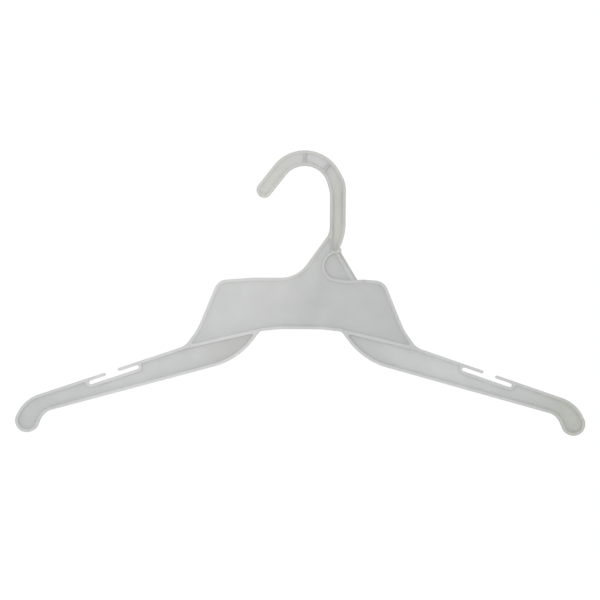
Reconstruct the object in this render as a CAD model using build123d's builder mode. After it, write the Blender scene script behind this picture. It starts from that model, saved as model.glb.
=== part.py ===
from build123d import *
import os
from math import atan2, cos, degrees, radians, sin, tan

# Moulded dress hanger: one shot of translucent plastic, with rims and ribs round thin webs.
# Frame: millimetres, +Z up. The origin is the centre of the hook's round seat, so the rail that
# the hanger hangs on runs along Y through it. The hanger lies in the XZ plane and faces -Y.
# The plan is drawn flat, as X across and Z up. Its rims and ribs are extruded as one framework,
# which is then divided at the moulding's own feature lines, and the webs fill its windows.

# ---------------------------------------------------------------- overall sizes
span = 431.8            # tip to tip, 17 in
rim_depth = 5.0         # front to back over the rims
rim_width = 2.35        # every rim and strap lip, seen from the front
web_thickness = 1.4
shallow_recess = 0.55   # from a rim's face down to the nearer web
edge_round = 0.6        # on the front and back edges of every rim and rib
window_round = 0.9      # corners of the webs in plan

# ---------------------------------------------------------------- hook
seat_radius = 18.0      # inside of the hook, where the rail sits
hook_bar = 11.65        # inner edge to outer edge
tip_turn = 142.0        # angle at which the crown runs out into the straight tip
tip_length = 19.3       # straight part of the tip, up to the centre of its round end
crown_inner_end = 15.0   # angles at which the crown's two edges leave their circles
crown_outer_end = 30.0
shank_set_out = 1.3     # from the seat's side out to the shank's inner edge
shank_width = 11.8
shank_top_round = 20.0
neck_bend_round = 15.0
cross_rib_width = 1.5
cross_rib_angles = (90.0, 45.0)
crown_recess = 1.5      # from a rim's face down to the crown and shank webs
pocket_depth = 0.6      # crescent pocket in the crown web, against the inner rim
pocket_width = 1.5
pocket_angles = (64.0, 86.0)

# ---------------------------------------------------------------- neck and size tab
# Points here lie so far out from the shank's outer edge, at a height.
neck_cut = -27.8                   # where the hook's inner rim gives way to the shoulder rim
neck_slope = 54.2
neck_corner = (-36.5, -66.9)       # where the neck's straight edge would meet the panel's top
neck_corner_round = 24.0
neck_rib_width = 1.4
waist = (-4.2, -43.7)              # narrowest point of the neck, right of the shank
waist_bend_drop = 40.0             # below the crown, where the shank leans in to the waist
waist_bend_round = 41.0
waist_nick_round = 0.4
nub = ((-2.9, -45.3), (-3.2, -47.6))
nub_round = 0.9
eye = (-6.0, -57.9)                # centre of the round bight that holds the size tab
eye_radius = 9.6
eye_angles = (98.0, 262.0)
eye_exit_slope = 3.0
eye_exit_round = 20.0
tab_head = (-3.5, -47.05)          # ends of the tab's outer edge
tab_foot = (10.4, -70.0)
tab_band = 1.9
tab_rib_width = 2.2
tab_rib_drop = 1.0                 # from the rims' front face to the front of the tab's rib
tab_band_thickness = 2.0

# ---------------------------------------------------------------- panel
body_x = -2.2                      # centre line of the panel, beside the hook's centre
panel_top = -67.0
panel_top_break = 36.0             # reach at which the panel's top starts to fall
panel_top_round = 60.0
eye_exit_point = (34.2, -68.6)     # on the edge that runs from the tab's bight to the panel's top
shoulder_corner = (62.9, -69.1)
shoulder_round = 10.0
flare = (78.1, -106.0)
flare_round = 40.0
elbow = (87.5, -119.1)
elbow_round = 14.0
panel_low_break = (15.5, -105.8)
panel_low_round = 40.0
panel_corner = (30.9, -107.5)
panel_corner_round = 3.0
rib_width = 2.9
rib_start = (30.7, -106.65)
rib_end = (106.0, -124.4)

# ---------------------------------------------------------------- arms
arm_top_slope = 18.7
arm_low_slope = 15.3
arm_low_point = (69.0, -135.4)
lens_slope = 53.0
lens_round = 55.0
tip_radius = 8.95
tip_drop = 16.7                    # centre of the arm's round end, below the arm's top edge
tip_outer_angle = 28.0
tip_inner_angle = 203.0
tip_top_round = 27.0
tip_throat_round = 13.0
tip_cut = 186.0                    # reach at which the lower rim gives way to the tip's rim
elbow_cut = 6.0                    # along the arm, where the shoulder rim gives way to the arm's

# ---------------------------------------------------------------- strap notch, along the arm
slot_from_elbow = 38.2
slot_length = 39.9
slot_height = 2.9
gap_from_elbow = 54.1
gap_length = 9.95

# ---------------------------------------------------------------- values that follow
half_depth = rim_depth / 2
outer_radius = seat_radius + hook_bar
middle_radius = seat_radius + hook_bar / 2
shank_inner_x = seat_radius + shank_set_out
shank_outer_x = shank_inner_x + shank_width
shank_middle_x = shank_inner_x + shank_width / 2
body_plane = Plane.YZ.offset(body_x)
spare = 3.0                        # by which a dividing shape runs past what it divides


def polar(radius, angle):
    """Vector of a length, at an angle."""
    return Vector(radius * cos(radians(angle)), radius * sin(radians(angle)))


def meet(point_a, angle_a, point_b, angle_b):
    """Point where two lines cross, each given by a point and its angle."""
    apart = Vector(point_b) - Vector(point_a)
    way_a = polar(1, angle_a)
    way_b = polar(1, angle_b)
    return Vector(point_a) + way_a * (apart.cross(way_b).Z / way_a.cross(way_b).Z)


def reach(point):
    """Point of the right half, given by its reach from the body's centre line and its height."""
    return Vector(body_x + point[0], point[1])


def beside(point):
    """Point of the neck or the tab, given by how far out from the shank it lies and its height."""
    return Vector(shank_outer_x + point[0], point[1])


def along_arm(distance, depth):
    """Point at a distance along the right arm's top edge from the elbow, and a depth below it."""
    return reach(elbow) + polar(distance, -arm_top_slope) + polar(depth, -arm_top_slope - 90)


def strip(start, end, width, longer=0.0, mode=Mode.ADD):
    """Draw a straight band between two points in the sketch, lengthened at both ends."""
    way = Vector(end) - Vector(start)
    with Locations((Vector(start) + Vector(end)) / 2):
        Rectangle(way.length + 2 * longer, width, rotation=degrees(atan2(way.Y, way.X)), mode=mode)


# ---------------------------------------------------------------- outline of the moulding
tip_way = polar(1, tip_turn + 90)
tip_centre = polar(middle_radius, tip_turn) + tip_way * tip_length
tip_inner = polar(seat_radius, tip_turn) + tip_way * tip_length
tip_outer = polar(outer_radius, tip_turn) + tip_way * tip_length
crown_foot = polar(outer_radius, crown_outer_end)
crown_shoulder = meet(crown_foot, crown_outer_end - 90, (shank_outer_x, 0), 90)
inner_foot = polar(seat_radius, crown_inner_end)
inner_shoulder = meet(inner_foot, crown_inner_end - 90, (shank_inner_x, 0), 90)
neck_foot = beside(neck_corner)
neck_shoulder = meet(neck_foot, neck_slope, (shank_inner_x, 0), 90)
waist_bend = Vector(shank_outer_x, crown_shoulder.Y - waist_bend_drop)
eye_centre = beside(eye)
eye_start = eye_centre + polar(eye_radius, eye_angles[0])
eye_end = eye_centre + polar(eye_radius, eye_angles[1])
eye_exit = meet(eye_end, eye_angles[1] + 90, reach(eye_exit_point), eye_exit_slope)
top_middle = (Vector(panel_top_break, panel_top) + Vector(shoulder_corner)) / 2
top_fall = shoulder_corner[1] - panel_top
top_slope = degrees(atan2(top_fall, shoulder_corner[0] - panel_top_break))
tab_top = meet(eye_exit, eye_exit_slope, reach(shoulder_corner), top_slope)

end_reach = span / 2 - tip_radius
end_height = elbow[1] - (end_reach - elbow[0]) * tan(radians(arm_top_slope)) - tip_drop
end_centre = reach((end_reach, end_height))
end_outer = end_centre + polar(tip_radius, tip_outer_angle)
end_inner = end_centre + polar(tip_radius, tip_inner_angle)
end_top = meet(reach(elbow), -arm_top_slope, end_outer, tip_outer_angle - 90)
end_throat = meet(reach(arm_low_point), -arm_low_slope, end_inner, tip_inner_angle - 90)
lens_knee = meet(reach(arm_low_point), -arm_low_slope, reach(panel_corner), -lens_slope)

with BuildSketch() as outline:
    with BuildLine():
        CenterArc((0, 0), seat_radius, crown_inner_end, tip_turn - crown_inner_end)
        Line(polar(seat_radius, tip_turn), tip_inner)
        CenterArc(tip_centre, hook_bar / 2, tip_turn, 180)
        Line(tip_outer, polar(outer_radius, tip_turn))
        CenterArc((0, 0), outer_radius, crown_outer_end, tip_turn - crown_outer_end)
        FilletPolyline(
            crown_foot, crown_shoulder, waist_bend, beside(waist), beside(nub[0]), beside(nub[1]),
            eye_start,
            radius=[shank_top_round, waist_bend_round, waist_nick_round, nub_round, nub_round],
        )
        CenterArc(eye_centre, eye_radius, eye_angles[0], eye_angles[1] - eye_angles[0])
        FilletPolyline(
            eye_end, eye_exit, tab_top, reach(tuple(top_middle)),
            radius=[eye_exit_round, eye_exit_round],
        )
        FilletPolyline(
            inner_foot, inner_shoulder, neck_shoulder, neck_foot,
            (body_x - panel_top_break, panel_top), (body_x - top_middle.X, top_middle.Y),
            radius=[shank_top_round, neck_bend_round, neck_corner_round, panel_top_round],
        )
        with BuildLine() as arm_edges:
            FilletPolyline(
                reach(tuple(top_middle)), reach(shoulder_corner), reach(flare), reach(elbow),
                end_top, end_outer,
                radius=[shoulder_round, flare_round, elbow_round, tip_top_round],
            )
            CenterArc(end_centre, tip_radius, tip_outer_angle, tip_inner_angle - tip_outer_angle - 360)
            FilletPolyline(
                end_inner, end_throat, lens_knee, reach(panel_corner), reach(panel_low_break),
                (body_x, panel_low_break[1]),
                radius=[tip_throat_round, lens_round, panel_corner_round, panel_low_round],
            )
        mirror(arm_edges.line, about=body_plane)
    make_face()

with BuildSketch() as core:
    add(outline.sketch)
    offset(amount=-rim_width, mode=Mode.REPLACE)

# ---------------------------------------------------------------- strap notches
slot_depth = rim_width + slot_height / 2
slot_middle = along_arm(slot_from_elbow + slot_length / 2, slot_depth)
slot_end = slot_from_elbow + slot_length
gap_end = gap_from_elbow + gap_length
lip_round = rim_width / 2

with BuildSketch() as slots:
    with Locations(slot_middle):
        SlotOverall(slot_length, slot_height, rotation=-arm_top_slope)
    mirror(about=body_plane)

with BuildSketch() as notches:
    strip(along_arm(gap_from_elbow, 0), along_arm(gap_end, 0), 2 * slot_depth)
    with Locations(along_arm(gap_from_elbow, lip_round), along_arm(gap_end, lip_round)):
        Rectangle(rim_width, rim_width, rotation=-arm_top_slope)
    with Locations(
        along_arm(gap_from_elbow - lip_round, lip_round), along_arm(gap_end + lip_round, lip_round)
    ):
        Circle(lip_round, mode=Mode.SUBTRACT)
    mirror(about=body_plane)
    add(slots.sketch)

# ---------------------------------------------------------------- ribs and windows
neck_rib_x = shank_inner_x + rim_width - neck_rib_width / 2
neck_rib_top = (neck_rib_x, neck_cut + spare)
neck_rib_foot = (neck_rib_x, eye[1] + eye_radius)

with BuildSketch() as shoulder_ribs:
    strip(reach(rib_start), reach(rib_end), rib_width)
    mirror(about=body_plane)

with BuildSketch() as shoulder_rib_zone:
    strip(reach(rib_start), reach(rib_end), rib_width + 2 * spare, spare)
    mirror(about=body_plane)
    add(core.sketch, mode=Mode.INTERSECT)

with BuildSketch() as cross_ribs:
    for angle in cross_rib_angles:
        strip(polar(seat_radius, angle), polar(outer_radius, angle), cross_rib_width)

with BuildSketch() as cross_rib_zone:
    for angle in cross_rib_angles:
        strip(polar(seat_radius, angle), polar(outer_radius, angle), cross_rib_width + 2 * spare)
    add(core.sketch, mode=Mode.INTERSECT)

with BuildSketch() as neck_rib_plan:
    strip(neck_rib_top, neck_rib_foot, neck_rib_width)

with BuildSketch() as neck_rib_zone:
    strip(neck_rib_top, neck_rib_foot, neck_rib_width + spare)
    add(core.sketch, mode=Mode.INTERSECT)

with BuildSketch() as slot_rims:
    add(slots.sketch)
    offset(amount=rim_width)

with BuildSketch() as windows:
    add(core.sketch)
    add(shoulder_ribs.sketch, mode=Mode.SUBTRACT)
    add(cross_ribs.sketch, mode=Mode.SUBTRACT)
    add(neck_rib_plan.sketch, mode=Mode.SUBTRACT)
    add(slot_rims.sketch, mode=Mode.SUBTRACT)
    offset(amount=-window_round, mode=Mode.REPLACE)
    offset(amount=window_round, mode=Mode.REPLACE)

# ---------------------------------------------------------------- framework of rims and ribs
with BuildPart() as framework:
    with BuildSketch(Plane.XZ):
        add(outline.sketch)
        add(windows.sketch, mode=Mode.SUBTRACT)
        add(notches.sketch, mode=Mode.SUBTRACT)
    extrude(amount=half_depth, both=True)
    face_edges = framework.edges().group_by(Axis.Y)
    fillet(face_edges[0] + face_edges[-1], edge_round)


# ---------------------------------------------------------------- zones that divide the framework
high = 60.0                        # heights and widths beyond the hanger, for zones open on a side
low = -200.0
wide = 150.0
tab_low = panel_top - 3 * spare
notch_spare = spare / 2
neck_rib_side = neck_rib_x + (neck_rib_width + spare) / 2
corner_way = (180 - lens_slope) / 2
corner_in = reach(panel_corner) + polar(2 * spare, corner_way)
corner_out = reach(panel_corner) - polar(spare, corner_way)
notch_start = slot_from_elbow - rim_width - notch_spare
notch_end = slot_end + rim_width + notch_spare
notch_floor = 2 * rim_width + slot_height + notch_spare
gap_middle = gap_from_elbow + gap_length / 2
low_edge = meet(reach(arm_low_point), -arm_low_slope, reach((tip_cut, 0)), 90)
tip_cut_out = low_edge - polar(spare, 90 - arm_low_slope)
tip_cut_in = low_edge + polar(2 * spare, 90 - arm_low_slope)
inward = 4 * spare                 # from an elbow, knee or flare to a point well inside a web
arm_middle = reach((elbow[0] + inward, elbow[1] - inward))
lens_middle = reach((lens_knee.X - body_x + inward, elbow[1] - spare))
shoulder_low = flare[1] + inward


def arm_box(start, end, top, bottom):
    """Add a zone between two distances along the arm and two depths below its top edge."""
    Polygon(
        along_arm(start, top), along_arm(end, top), along_arm(end, bottom), along_arm(start, bottom),
        align=None,
    )


with BuildSketch() as hook_mouth:
    tip_beyond = tip_centre + tip_way * hook_bar
    with BuildLine():
        Polyline(
            tip_beyond, (tip_beyond.X, neck_cut), (shank_middle_x, neck_cut), (shank_middle_x, 0),
            polar(middle_radius, crown_outer_end),
        )
        CenterArc((0, 0), middle_radius, crown_outer_end, tip_turn - crown_outer_end)
        Line(polar(middle_radius, tip_turn), tip_beyond)
    make_face()

with BuildSketch() as hook_back:
    Polygon((-high, neck_cut), (high, neck_cut), (high, high), (-high, high), align=None)
    Polygon(
        (neck_rib_side, waist[1]), (high, waist[1]), (high, neck_cut), (neck_rib_side, neck_cut),
        align=None,
    )
    add(hook_mouth.sketch, mode=Mode.SUBTRACT)
    add(cross_rib_zone.sketch, mode=Mode.SUBTRACT)
    add(neck_rib_zone.sketch, mode=Mode.SUBTRACT)

with BuildSketch() as tab_surround:
    with Locations(eye_centre):
        Circle(eye_radius + 2 * rim_width)
    Polygon(
        eye_centre, (tab_top.X, eye[1]), (tab_top.X, tab_low), (eye_centre.X, tab_low), align=None
    )
    add(hook_back.sketch, mode=Mode.SUBTRACT)
    add(neck_rib_zone.sketch, mode=Mode.SUBTRACT)

with BuildSketch() as right_shoulder:
    Polygon(
        (tab_top.X, eye[1]), reach((wide, eye[1])), along_arm(elbow_cut, -spare),
        along_arm(elbow_cut, 2 * rim_width), reach((elbow[0] - 2 * spare, elbow[1] - spare)),
        reach((shoulder_corner[0] - spare, shoulder_low)), (tab_top.X, shoulder_low),
        align=None,
    )
    add(shoulder_rib_zone.sketch, mode=Mode.SUBTRACT)

with BuildSketch() as left_shoulder:
    add(right_shoulder.sketch)
    mirror(about=body_plane, mode=Mode.REPLACE)
    Polygon(
        (shank_middle_x, neck_cut), (2 * body_x - tab_top.X, neck_cut),
        (2 * body_x - tab_top.X, shoulder_low), (eye_centre.X - eye_radius, shoulder_low),
        align=None,
    )
    add(tab_surround.sketch, mode=Mode.SUBTRACT)
    add(neck_rib_zone.sketch, mode=Mode.SUBTRACT)
    add(hook_back.sketch, mode=Mode.SUBTRACT)

with BuildSketch() as panel_foot:
    Polygon(corner_in, corner_out, (body_x, corner_out.Y), (body_x, corner_in.Y), align=None)
    mirror(about=body_plane)
    add(shoulder_rib_zone.sketch, mode=Mode.SUBTRACT)

with BuildSketch() as arm_low_zone:
    Polygon(
        corner_in, corner_out, (corner_out.X, low), (tip_cut_out.X, low), tip_cut_out, tip_cut_in,
        arm_middle, lens_middle,
        align=None,
    )
    add(shoulder_rib_zone.sketch, mode=Mode.SUBTRACT)

with BuildSketch() as arm_top_zone:
    arm_box(elbow_cut, notch_start, -spare, 2 * rim_width)
    add(shoulder_rib_zone.sketch, mode=Mode.SUBTRACT)

with BuildSketch() as inner_lip_zone:
    arm_box(slot_from_elbow + slot_height / 2, gap_middle, -spare, slot_depth)

with BuildSketch() as outer_lip_zone:
    arm_box(gap_middle, slot_end - slot_height / 2, -spare, slot_depth)

with BuildSketch() as notch_zone:
    arm_box(notch_start, notch_end, -spare, notch_floor)
    add(inner_lip_zone.sketch, mode=Mode.SUBTRACT)
    add(outer_lip_zone.sketch, mode=Mode.SUBTRACT)

with BuildSketch() as tip_zone:
    Polygon(
        tip_cut_in, along_arm(notch_end, 2 * rim_width), along_arm(notch_end, -spare),
        along_arm(notch_end + wide, -spare), (along_arm(notch_end + wide, 0).X, low),
        (tip_cut_out.X, low), tip_cut_out,
        align=None,
    )

# ---------------------------------------------------------------- sub-parts
os.makedirs("parts", exist_ok=True)


def save(piece, name):
    """Label a finished sub-part and write it."""
    piece.part.label = name
    export_step(piece.part, f"parts/{name}.step")


def framework_share(zone):
    """Build the share of the framework that stands on a zone of the plan."""
    with BuildPart() as share:
        with BuildSketch(Plane.XZ):
            add(zone)
        extrude(amount=rim_depth, both=True)
        add(framework.part, mode=Mode.INTERSECT)
    return share


def web(inside, face_height):
    """Build the web that fills the window round a point, set at a height on the -Y side."""
    with BuildPart() as sheet:
        with BuildSketch(Plane.XZ.offset(face_height)):
            add(windows.faces().sort_by_distance(inside)[0])
        extrude(amount=-web_thickness)
    return sheet


# Hook: a rim along each edge, two ribs across, and three webs between them.
with BuildSketch() as inner_rim_zone:
    add(hook_mouth.sketch)
    add(cross_rib_zone.sketch, mode=Mode.SUBTRACT)

panel_face = half_depth - shallow_recess
crown_face = half_depth - crown_recess
arm_face = web_thickness - panel_face
cross_rib_zones = cross_rib_zone.faces().sort_by(Axis.X)
crown_middle_angle = sum(cross_rib_angles) / 2

save(framework_share(inner_rim_zone.sketch), "hook_inner_rim")
save(framework_share(hook_back.sketch), "hook_outer_rim")
save(framework_share(cross_rib_zones[0]), "hook_top_rib")
save(framework_share(cross_rib_zones[-1]), "hook_side_rib")
save(web(polar(middle_radius, (cross_rib_angles[0] + tip_turn) / 2), panel_face), "hook_tip_web")
save(web((shank_middle_x, neck_cut / 2), crown_face), "hook_shank_web")

pocket_inner = seat_radius + rim_width
with BuildPart() as hook_crown_web:
    add(web(polar(middle_radius, crown_middle_angle), crown_face).part)
    with BuildSketch(Plane.XZ.offset(crown_face)):
        with BuildLine():
            pocket_turn = pocket_angles[1] - pocket_angles[0]
            low_arc = CenterArc((0, 0), pocket_inner, pocket_angles[0], pocket_turn)
            ThreePointArc(
                low_arc @ 0, polar(pocket_inner + pocket_width, sum(pocket_angles) / 2), low_arc @ 1
            )
        make_face()
    extrude(amount=-pocket_depth, mode=Mode.SUBTRACT)
save(hook_crown_web, "hook_crown_web")

# Neck, with the size tab in the round bight behind the shank.
save(framework_share(neck_rib_zone.sketch), "neck_rib")
save(framework_share(tab_surround.sketch), "size_tab_rim")

tab_line = (beside(tab_head), beside(tab_foot))
eye_left = eye_centre.X - eye_radius - rim_width

with BuildSketch() as tab_plan:
    Polygon(*tab_line, (eye_left, tab_foot[1]), (eye_left, tab_head[1]), align=None)
    add(outline.sketch, mode=Mode.SUBTRACT)

with BuildSketch() as tab_band_plan:
    strip(*tab_line, 2 * tab_band, spare)
    add(tab_plan.sketch, mode=Mode.INTERSECT)

with BuildSketch() as tab_rib_plan:
    strip(*tab_line, 2 * (tab_band + tab_rib_width), spare)
    strip(*tab_line, 2 * tab_band, spare, Mode.SUBTRACT)
    add(tab_plan.sketch, mode=Mode.INTERSECT)

with BuildPart() as size_tab_band:
    with BuildSketch(Plane.XZ.offset(-panel_face)):
        add(tab_band_plan.sketch)
    extrude(amount=tab_band_thickness)
save(size_tab_band, "size_tab_band")

with BuildPart() as size_tab_rib:
    with BuildSketch(Plane.XZ.offset(-panel_face)):
        add(tab_rib_plan.sketch)
    extrude(amount=panel_face + half_depth - tab_rib_drop)
save(size_tab_rib, "size_tab_rib")

with BuildPart() as size_tab_web:
    with BuildSketch(Plane.XZ.offset(-panel_face)):
        add(tab_plan.sketch)
        add(tab_band_plan.sketch, mode=Mode.SUBTRACT)
        add(tab_rib_plan.sketch, mode=Mode.SUBTRACT)
    extrude(amount=web_thickness)
save(size_tab_web, "size_tab_web")

# Panel: its web, the rims over its two shoulders and under it, and the rib at each shoulder.
save(web((body_x, (panel_top + panel_low_break[1]) / 2), panel_face), "centre_panel")
save(framework_share(left_shoulder.sketch), "left_shoulder_rim")
save(framework_share(right_shoulder.sketch), "right_shoulder_rim")
save(framework_share(panel_foot.sketch), "panel_lower_rim")

# Right arm, and the left one as its mirror image.
arm_pieces = {
    "shoulder_rib": framework_share(shoulder_rib_zone.faces().sort_by(Axis.X)[-1]),
    "arm_web": web(along_arm(elbow_cut, notch_floor), arm_face),
    "arm_upper_rim": framework_share(arm_top_zone.sketch),
    "arm_lower_rim": framework_share(arm_low_zone.sketch),
    "arm_tip_rim": framework_share(tip_zone.sketch),
    "strap_notch_rim": framework_share(notch_zone.sketch),
    "inner_strap_lip": framework_share(inner_lip_zone.sketch),
    "outer_strap_lip": framework_share(outer_lip_zone.sketch),
}
for name, right_piece in arm_pieces.items():
    with BuildPart() as left_piece:
        mirror(right_piece.part, about=body_plane)
    save(right_piece, f"right_{name}")
    save(left_piece, f"left_{name}")
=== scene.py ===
import math

import bmesh
import bpy
from mathutils import Matrix, Vector


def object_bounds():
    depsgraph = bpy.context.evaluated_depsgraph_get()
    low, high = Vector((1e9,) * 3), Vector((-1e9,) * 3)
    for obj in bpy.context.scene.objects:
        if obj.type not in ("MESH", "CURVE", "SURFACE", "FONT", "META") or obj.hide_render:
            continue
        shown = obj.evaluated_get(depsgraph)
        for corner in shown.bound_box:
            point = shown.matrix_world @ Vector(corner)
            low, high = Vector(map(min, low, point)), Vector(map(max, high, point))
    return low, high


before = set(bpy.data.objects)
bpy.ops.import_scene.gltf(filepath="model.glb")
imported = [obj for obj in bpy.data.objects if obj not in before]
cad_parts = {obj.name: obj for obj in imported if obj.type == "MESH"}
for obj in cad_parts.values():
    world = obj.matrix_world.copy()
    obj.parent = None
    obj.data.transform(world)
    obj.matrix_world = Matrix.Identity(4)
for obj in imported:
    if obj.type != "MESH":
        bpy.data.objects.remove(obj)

cad_low, cad_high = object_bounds()
cad_middle = (cad_low + cad_high) / 2

# ---------------------------------------------------------------- shader node helpers


def new_node(tree, kind, place, **values):
    """A node whose sockets, or settings where it has no such socket, take the named values."""
    node = tree.nodes.new(kind)
    node.location = place
    for name, value in values.items():
        if name in node.inputs:
            node.inputs[name].default_value = value
        else:
            setattr(node, name, value)
    return node


def feed(tree, value, socket):
    """Give a socket a plain number, or a link where the value comes from another socket."""
    if isinstance(value, (int, float)):
        socket.default_value = value
    else:
        tree.links.new(value, socket)


def new_group(name, inputs, outputs):
    """An empty shader node group with the given sockets, and its two ends."""
    group = bpy.data.node_groups.new(name, "ShaderNodeTree")
    for socket, kind, value in inputs:
        made = group.interface.new_socket(name=socket, in_out="INPUT", socket_type=kind)
        if value is not None:
            made.default_value = value
    for socket, kind in outputs:
        group.interface.new_socket(name=socket, in_out="OUTPUT", socket_type=kind)
    start = new_node(group, "NodeGroupInput", (-900, 0))
    end = new_node(group, "NodeGroupOutput", (700, 0))
    return group, start, end


def math_node(tree, operation, place, *values):
    node = new_node(tree, "ShaderNodeMath", place, operation=operation)
    for socket, value in zip(node.inputs, values):
        feed(tree, value, socket)
    return node.outputs["Value"]


def stretch(tree, place, value, gain, shift):
    """The value times a gain, plus a shift."""
    return math_node(tree, "MULTIPLY_ADD", place, value, gain, shift)


def noise(tree, place, vector, scale, detail, roughness=0.5, distortion=0.0):
    node = new_node(tree, "ShaderNodeTexNoise", place, Scale=scale, Detail=detail,
                    Roughness=roughness, Distortion=distortion)
    tree.links.new(vector, node.inputs["Vector"])
    return node.outputs["Fac"]


def ramp(tree, place, value, begin, full, rising=True, interpolation="SMOOTHSTEP"):
    """A share that rises from 0 to 1, or falls from 1 to 0, as the value goes from begin to full."""
    node = new_node(tree, "ShaderNodeMapRange", place, interpolation_type=interpolation)
    node.inputs["To Min"].default_value = 0.0 if rising else 1.0
    node.inputs["To Max"].default_value = 1.0 if rising else 0.0
    feed(tree, value, node.inputs["Value"])
    feed(tree, begin, node.inputs["From Min"])
    feed(tree, full, node.inputs["From Max"])
    return node.outputs["Result"]


def mix_colors(tree, place, share, plain, other, blend="MIX"):
    """The plain color, and the other one by its share. All three come from sockets."""
    node = new_node(tree, "ShaderNodeMix", place, data_type="RGBA", blend_type=blend)
    tree.links.new(share, node.inputs["Factor"])
    tree.links.new(plain, node.inputs["A"])
    tree.links.new(other, node.inputs["B"])
    return node.outputs["Result"]


def clamp(tree, place, value):
    node = new_node(tree, "ShaderNodeClamp", place)
    tree.links.new(value, node.inputs["Value"])
    return node.outputs["Result"]


# ---------------------------------------------------------------- milky plastic, as node groups


def milk_group():
    """Cloudiness of the translucent resin: broad pale drifts, finer curds, and specks."""
    group, start, end = new_group(
        "Milky resin",
        [("Vector", "NodeSocketVector", None),
         ("Deep Color", "NodeSocketColor", None),
         ("Milk Color", "NodeSocketColor", None),
         ("Cast Color", "NodeSocketColor", None),
         ("Drift", "NodeSocketFloat", 0.8),
         ("Cast", "NodeSocketFloat", 0.3)],
        [("Color", "NodeSocketColor"), ("Cloud", "NodeSocketFloat")])
    vector = start.outputs["Vector"]
    drifts = noise(group, (-700, 250), vector, scale=14.0, detail=2.0, roughness=0.45, distortion=0.4)
    curds = noise(group, (-700, 50), vector, scale=95.0, detail=3.0, roughness=0.55)
    specks = noise(group, (-700, -150), vector, scale=900.0, detail=2.0, roughness=0.6)
    tints = noise(group, (-700, -350), vector, scale=22.0, detail=1.0)

    broad = stretch(group, (-450, 250), drifts, gain=1.9, shift=-0.45)
    fine = stretch(group, (-450, 50), curds, gain=0.9, shift=-0.45)
    grainy = stretch(group, (-450, -150), specks, gain=0.2, shift=-0.1)
    together = math_node(group, "ADD", (-250, 150), broad, fine)
    together = math_node(group, "ADD", (-100, 100), together, grainy)
    centred = math_node(group, "SUBTRACT", (0, 100), together, 0.5)
    cloud = clamp(group, (220, 100), stretch(group, (100, 100), centred, start.outputs["Drift"], 0.5))
    milk = mix_colors(group, (380, 150), cloud, start.outputs["Deep Color"], start.outputs["Milk Color"])

    share = stretch(group, (100, -250), tints, gain=2.4, shift=-0.7)
    share = math_node(group, "MULTIPLY", (250, -250), share, start.outputs["Cast"])
    share = clamp(group, (380, -250), share)
    tinted = mix_colors(group, (540, 50), share, milk, start.outputs["Cast Color"])
    group.links.new(tinted, end.inputs["Color"])
    group.links.new(cloud, end.inputs["Cloud"])
    return group


def skin_group():
    """Surface that the steel mould leaves: slow waves of shrinkage, a fine satin texture, a few scuffs."""
    group, start, end = new_group(
        "Moulded skin",
        [("Vector", "NodeSocketVector", None),
         ("Satin", "NodeSocketFloat", 0.42),
         ("Scuff", "NodeSocketFloat", 0.4)],
        [("Roughness", "NodeSocketFloat"), ("Height", "NodeSocketFloat")])
    vector = start.outputs["Vector"]
    scuffs_along_arms = new_node(group, "ShaderNodeMapping", (-900, -250), Rotation=(0.0, 0.32, 0.0),
                                 Scale=(0.10, 1.0, 1.4))
    group.links.new(vector, scuffs_along_arms.inputs["Vector"])
    waves = noise(group, (-700, 250), vector, scale=40.0, detail=1.0, roughness=0.4)
    satin = noise(group, (-700, 50), vector, scale=1500.0, detail=2.0)
    scuffs = noise(group, (-700, -250), scuffs_along_arms.outputs["Vector"], scale=420.0, detail=3.0,
                   roughness=0.6)
    patches = noise(group, (-700, -450), vector, scale=60.0, detail=2.0)

    worn = stretch(group, (-450, -250), scuffs, gain=3.2, shift=-1.75)
    worn = math_node(group, "MAXIMUM", (-300, -250), worn, 0.0)
    worn = math_node(group, "MULTIPLY", (-150, -300), worn, patches)
    worn = math_node(group, "MULTIPLY", (0, -300), worn, start.outputs["Scuff"])
    uneven = stretch(group, (-450, -450), patches, gain=0.16, shift=-0.08)
    rough = math_node(group, "ADD", (100, -100), start.outputs["Satin"], uneven)
    rough = math_node(group, "ADD", (250, -150), rough, worn)
    group.links.new(rough, end.inputs["Roughness"])

    satin_share = 0.035
    scuff_depth = 0.06
    height = stretch(group, (-250, 150), satin, satin_share, waves)
    scratched = math_node(group, "MULTIPLY", (-250, 0), worn, scuff_depth)
    height = math_node(group, "SUBTRACT", (-100, 150), height, scratched)
    group.links.new(height, end.inputs["Height"])
    return group


def fade_group():
    """Multiplies the colour by a tint along a direction: untouched up to From, and fully tinted from To
    onwards. It carries both tints of the resin and painted shade.
    """
    group, start, end = new_group(
        "Fade",
        [("Vector", "NodeSocketVector", None),
         ("Color", "NodeSocketColor", None),
         ("Direction", "NodeSocketVector", None),
         ("From", "NodeSocketFloat", None),
         ("To", "NodeSocketFloat", None),
         ("Tint", "NodeSocketColor", None)],
        [("Color", "NodeSocketColor")])
    along = new_node(group, "ShaderNodeVectorMath", (-650, -150), operation="DOT_PRODUCT")
    group.links.new(start.outputs["Vector"], along.inputs[0])
    group.links.new(start.outputs["Direction"], along.inputs[1])
    share = ramp(group, (-400, -150), along.outputs["Value"], start.outputs["From"], start.outputs["To"])
    tinted = mix_colors(group, (200, 0), share, start.outputs["Color"], start.outputs["Tint"], "MULTIPLY")
    group.links.new(tinted, end.inputs["Color"])
    return group


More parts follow.
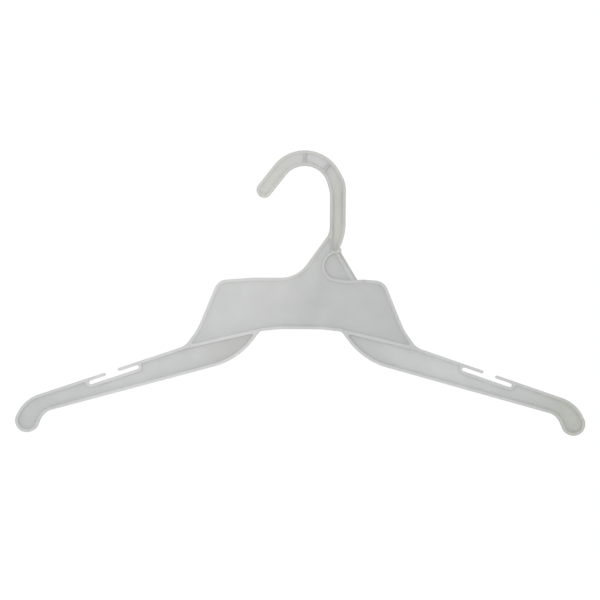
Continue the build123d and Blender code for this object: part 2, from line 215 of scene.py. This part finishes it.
def painted_edge_light_group():
    """Painted light: walls and rounded edges, picked by how far the surface normal turns from front or back,
    are mixed towards a fixed pale tone, so their shade is lifted in the colour.
    """
    group, start, end = new_group(
        "Painted edge light",
        [("Color", "NodeSocketColor", None),
         ("Edge Light Color", "NodeSocketColor", (0.86, 0.865, 0.855, 1.0)),
         ("Depth", "NodeSocketFloat", 0.3)],
        [("Color", "NodeSocketColor")])
    surface = new_node(group, "ShaderNodeNewGeometry", (-900, -250))
    parts = new_node(group, "ShaderNodeSeparateXYZ", (-700, -250))
    group.links.new(surface.outputs["Normal"], parts.inputs["Vector"])
    flat = math_node(group, "ABSOLUTE", (-500, -250), parts.outputs["Y"])
    turned = ramp(group, (-300, -250), flat, begin=0.98, full=0.55, interpolation="LINEAR")
    share = math_node(group, "MULTIPLY", (-100, -200), turned, start.outputs["Depth"])
    mixed = mix_colors(group, (150, 0), share, start.outputs["Color"], start.outputs["Edge Light Color"])
    group.links.new(mixed, end.inputs["Color"])
    return group


milky_resin = milk_group()
moulded_skin = skin_group()
fade = fade_group()
painted_edge_light = painted_edge_light_group()


def plastic(name, deep, milk, cast, fades=(), through=0.5):
    """Satin milky polypropylene. deep and milk are the resin where it is clearest and cloudiest, cast
    is its faint patches of another tone, and through is the share of light that passes through."""
    material = bpy.data.materials.new(name)
    material.use_nodes = True
    tree = material.node_tree
    tree.nodes.clear()
    place = new_node(tree, "ShaderNodeTexCoord", (-1100, 0)).outputs["Object"]
    resin = new_node(tree, "ShaderNodeGroup", (-850, 150), node_tree=milky_resin)
    skin = new_node(tree, "ShaderNodeGroup", (-650, -200), node_tree=moulded_skin)
    tree.links.new(place, resin.inputs["Vector"])
    tree.links.new(place, skin.inputs["Vector"])
    for socket, color in (("Deep Color", deep), ("Milk Color", milk), ("Cast Color", cast)):
        resin.inputs[socket].default_value = (*color, 1.0)

    tone = resin.outputs["Color"]
    # Each fade multiplies the tone along a direction; some are resin tints, some painted shade.
    for direction, begin, full, tint in fades:
        step = new_node(tree, "ShaderNodeGroup", (-600, 150), node_tree=fade)
        step.inputs["Direction"].default_value = direction
        step.inputs["From"].default_value = begin
        step.inputs["To"].default_value = full
        step.inputs["Tint"].default_value = (*tint, 1.0)
        tree.links.new(place, step.inputs["Vector"])
        tree.links.new(tone, step.inputs["Color"])
        tone = step.outputs["Color"]
    # Painted light on walls and rounded edges: a pale tone mixed in by how far the surface turns from facing
    # front or back.
    edges = new_node(tree, "ShaderNodeGroup", (-350, 150), node_tree=painted_edge_light)
    tree.links.new(tone, edges.inputs["Color"])

    bump = new_node(tree, "ShaderNodeBump", (-350, -250), Strength=0.5, Distance=0.0004)
    shader = new_node(tree, "ShaderNodeBsdfPrincipled", (-50, 200), IOR=1.49)
    glow = new_node(tree, "ShaderNodeBsdfTranslucent", (-50, -300))
    blend = new_node(tree, "ShaderNodeMixShader", (300, 0))
    blend.inputs[0].default_value = through
    out = new_node(tree, "ShaderNodeOutputMaterial", (500, 0))
    tree.links.new(edges.outputs["Color"], shader.inputs["Base Color"])
    tree.links.new(edges.outputs["Color"], glow.inputs["Color"])
    tree.links.new(skin.outputs["Roughness"], shader.inputs["Roughness"])
    tree.links.new(skin.outputs["Height"], bump.inputs["Height"])
    tree.links.new(bump.outputs["Normal"], shader.inputs["Normal"])
    tree.links.new(shader.outputs["BSDF"], blend.inputs[1])
    tree.links.new(glow.outputs["BSDF"], blend.inputs[2])
    tree.links.new(blend.outputs["Shader"], out.inputs["Surface"])
    return material


# ---------------------------------------------------------------- the hanger's finishes

to_right = (1.0, 0.0, 0.0)
to_left = (-1.0, 0.0, 0.0)
down_right = (1.0, 0.0, -1.0)
upward = (0.0, 0.0, 1.0)
downward = (0.0, 0.0, -1.0)

# Each fade is a direction, the distances along it where the tint begins and is full, and the tint.
warm_tip = (to_left, -0.005, 0.022, (0.99, 0.985, 0.945))
warm_shank = (downward, -0.020, 0.012, (0.99, 0.985, 0.94))
dull_hook = (upward, -0.080, -0.045, (0.98, 0.98, 0.94))
# Painted shade: the panel darkens towards the lower right and the rims towards the right, as where less
# light falls.
panel_painted_shade = (down_right, 0.020, 0.105, (0.92, 0.92, 0.92))
rim_painted_shade = (to_right, -0.060, 0.030, (0.93, 0.93, 0.935))
left_rim_tip = (to_left, 0.150, 0.205, (0.93, 0.93, 0.935))
# Painted shade: the left arm's web darkens near its root, below the shoulder rib.
left_lens_painted_shade = (to_right, -0.085, -0.050, (0.915, 0.915, 0.905))
left_tip = (to_left, 0.165, 0.205, (0.965, 0.965, 0.97))
# Painted shade: the right arm's web darkens near its root, below the shoulder rib.
right_lens_painted_shade = (to_left, -0.080, -0.045, (0.95, 0.95, 0.955))
right_tip = (to_right, 0.160, 0.205, (0.925, 0.93, 0.885))

panel_plastic = plastic(
    "Panel web", deep=(0.75, 0.76, 0.76), milk=(0.85, 0.86, 0.855), cast=(0.78, 0.78, 0.765),
    fades=(panel_painted_shade,))
left_arm_plastic = plastic(
    "Left arm web", deep=(0.75, 0.76, 0.765), milk=(0.855, 0.86, 0.86), cast=(0.79, 0.79, 0.77),
    fades=(left_lens_painted_shade, left_tip))
right_arm_plastic = plastic(
    "Right arm web", deep=(0.74, 0.75, 0.755), milk=(0.85, 0.855, 0.855), cast=(0.78, 0.78, 0.76),
    fades=(right_lens_painted_shade, right_tip))
crown_plastic = plastic(
    "Hook crown web", deep=(0.79, 0.80, 0.80), milk=(0.865, 0.87, 0.87), cast=(0.81, 0.81, 0.805),
    fades=(warm_tip,))
shank_plastic = plastic(
    "Hook shank web", deep=(0.755, 0.765, 0.765), milk=(0.83, 0.835, 0.835), cast=(0.775, 0.775, 0.765),
    fades=(warm_shank,))
tab_plastic = plastic(
    "Size tab web", deep=(0.70, 0.71, 0.71), milk=(0.785, 0.79, 0.79), cast=(0.72, 0.72, 0.71))
rim_plastic = plastic(
    "Rim", deep=(0.85, 0.855, 0.855), milk=(0.905, 0.91, 0.905), cast=(0.865, 0.865, 0.85),
    fades=(dull_hook, rim_painted_shade, left_rim_tip, right_tip), through=0.44)

web_finishes = {
    "centre_panel": panel_plastic,
    "left_arm_web": left_arm_plastic,
    "right_arm_web": right_arm_plastic,
    "hook_tip_web": crown_plastic,
    "hook_crown_web": crown_plastic,
    "hook_shank_web": shank_plastic,
    "size_tab_web": tab_plastic,
    "size_tab_band": tab_plastic,
}
for name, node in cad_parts.items():
    for material_slot in node.material_slots:
        material_slot.material = web_finishes.get(name, rim_plastic)

# ---------------------------------------------------------------- floor

floor_drop = 0.95         # below the hanger's lowest point
floor_radius = 4.0
floor_fade_start = 1.0    # radius from which the floor fades out into the backdrop
floor_fade_end = 0.95 * floor_radius
floor_tones = ((0.93, 0.93, 0.92, 1.0), (0.96, 0.96, 0.955, 1.0))


def floor_paint():
    """Pale matt floor with faint clouds, which fades out towards its edge and is clear from below."""
    material = bpy.data.materials.new("Pale floor")
    material.use_nodes = True
    tree = material.node_tree
    shader = tree.nodes["Principled BSDF"]
    shader.inputs["Roughness"].default_value = 0.8
    place = new_node(tree, "ShaderNodeTexCoord", (-1100, 0)).outputs["Object"]
    cloud = noise(tree, (-850, 150), place, scale=3.0, detail=3.0)
    tone = new_node(tree, "ShaderNodeMix", (-400, 150), data_type="RGBA", A=floor_tones[0], B=floor_tones[1])
    tree.links.new(cloud, tone.inputs["Factor"])
    tree.links.new(tone.outputs["Result"], shader.inputs["Base Color"])
    reach = new_node(tree, "ShaderNodeVectorMath", (-850, -150), operation="LENGTH")
    tree.links.new(place, reach.inputs[0])
    near = ramp(tree, (-600, -150), reach.outputs["Value"], floor_fade_start, floor_fade_end, rising=False)
    side = new_node(tree, "ShaderNodeNewGeometry", (-850, -400))
    from_above = math_node(tree, "SUBTRACT", (-600, -400), 1.0, side.outputs["Backfacing"])
    shown = math_node(tree, "MULTIPLY", (-300, -250), near, from_above)
    tree.links.new(shown, shader.inputs["Alpha"])
    return material


shape = bmesh.new()
bmesh.ops.create_circle(shape, cap_ends=True, segments=96, radius=floor_radius)
bmesh.ops.translate(shape, verts=shape.verts, vec=(cad_middle.x, 0.0, cad_low.z - floor_drop))
floor_mesh = bpy.data.meshes.new("floor")
shape.to_mesh(floor_mesh)
shape.free()
floor_mesh.materials.append(floor_paint())
floor = bpy.data.objects.new("floor", floor_mesh)
bpy.context.scene.collection.objects.link(floor)

# ---------------------------------------------------------------- studio light

white = (1.0, 1.0, 1.0, 1.0)
world = bpy.data.worlds.new("Studio")
bpy.context.scene.world = world
world.use_nodes = True
sky = world.node_tree
sky.nodes.clear()
backdrop = new_node(sky, "ShaderNodeBackground", (0, 150), Color=white, Strength=1.02)
room = new_node(sky, "ShaderNodeBackground", (0, 0), Color=white, Strength=0.55)
seen = new_node(sky, "ShaderNodeLightPath", (-200, 300))
either = new_node(sky, "ShaderNodeMixShader", (200, 100))
world_out = new_node(sky, "ShaderNodeOutputWorld", (400, 100))
sky.links.new(seen.outputs["Is Camera Ray"], either.inputs[0])
sky.links.new(room.outputs["Background"], either.inputs[1])
sky.links.new(backdrop.outputs["Background"], either.inputs[2])
sky.links.new(either.outputs["Shader"], world_out.inputs["Surface"])


def softbox(name, place, size, watts):
    """A rectangular softbox at a place beside the middle of the hanger, turned to face it."""
    lamp = bpy.data.lights.new(name, "AREA")
    lamp.shape = "RECTANGLE"
    lamp.size, lamp.size_y = size
    lamp.energy = watts
    stand = bpy.data.objects.new(name, lamp)
    stand.location = cad_middle + Vector(place)
    stand.rotation_euler = Vector(place).to_track_quat("Z", "Y").to_euler()
    stand.visible_camera = False
    bpy.context.scene.collection.objects.link(stand)


softbox("key", place=(-0.2, -2.6, 0.15), size=(0.9, 0.8), watts=21.5)
softbox("overhead", place=(0.0, 0.2, 1.8), size=(1.4, 1.0), watts=3.0)
softbox("back", place=(0.6, 2.2, 0.5), size=(1.6, 1.4), watts=12.0)

# ---------------------------------------------------------------- camera

frame_width = 0.4548      # seen from side to side at the hanger's middle plane
lens = 135.0
sensor = 36.0
aim = Vector((-0.0030, 0.0, -0.0837))
upright = math.radians(90.0)
roll = math.radians(0.39)

camera_data = bpy.data.cameras.new("camera")
camera_data.lens = lens
camera_data.sensor_width = sensor
camera = bpy.data.objects.new("camera", camera_data)
camera.location = aim + Vector((0.0, -frame_width * lens / sensor, 0.0))
facing = Matrix.Rotation(upright, 3, "X") @ Matrix.Rotation(roll, 3, "Z")
camera.rotation_euler = facing.to_euler()
bpy.context.scene.collection.objects.link(camera)
bpy.context.scene.camera = camera
bpy.context.scene.view_settings.view_transform = "Standard"
